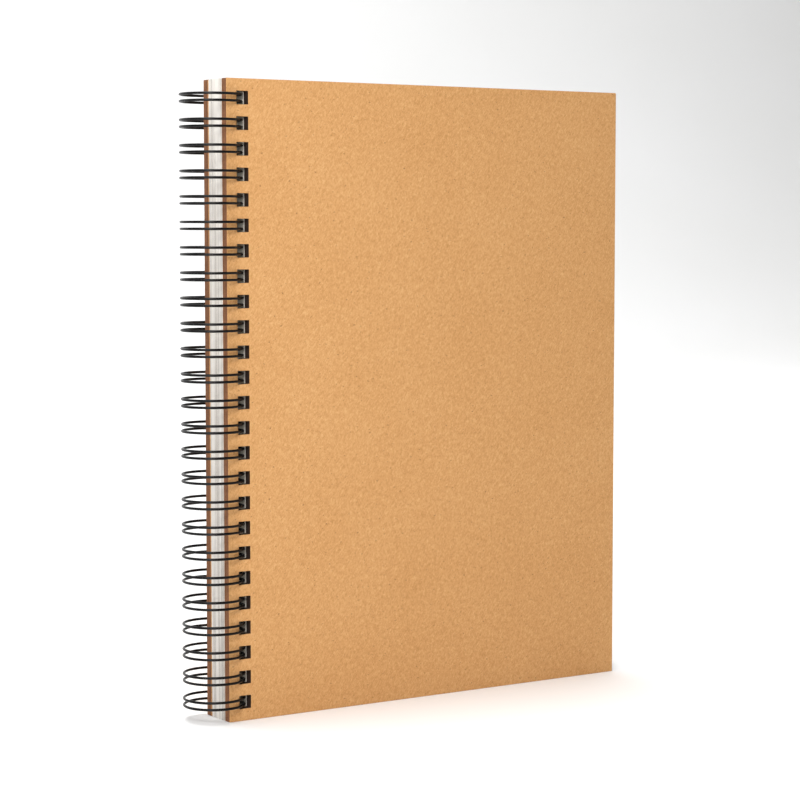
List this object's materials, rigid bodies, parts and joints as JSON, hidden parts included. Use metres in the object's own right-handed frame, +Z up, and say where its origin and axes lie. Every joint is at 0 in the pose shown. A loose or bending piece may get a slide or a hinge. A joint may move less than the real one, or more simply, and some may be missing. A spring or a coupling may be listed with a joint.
{
  "type": "spiral notebook",
  "caption": "Wire-bound notebook standing on its bottom edge: stiff kraft board covers swing open round a row of black wire loops, with a page block between them.",
  "frame": {"origin": "middle of the notebook's box on the ground it stands on, loops included", "axes": "+Z up along the spine, +X from the spine to the fore-edge, front cover facing -Y"},
  "size_m": [0.1772, 0.0212, 0.216],
  "materials": {
    "cover_board": "matt uncoated kraft",
    "pages": "uncoated writing paper",
    "wire": "satin black coating"
  },
  "bodies": {
    "pages": {"page_block": "pages", "wire_binding": "wire"},
    "front": {"front_cover": "cover_board"},
    "back": {"back_cover": "cover_board"}
  },
  "joints": [
    {"name": "front_cover_hinge", "type": "hinge", "parent": "pages", "child": "front", "pos_m": [-0.07794, 0, 0], "axis": [0, 0, -1], "range_deg": [0, 190]},
    {"name": "back_cover_hinge", "type": "hinge", "parent": "pages", "child": "back", "pos_m": [-0.07794, 0, 0], "axis": [0, 0, 1], "range_deg": [0, 190]}
  ]
}
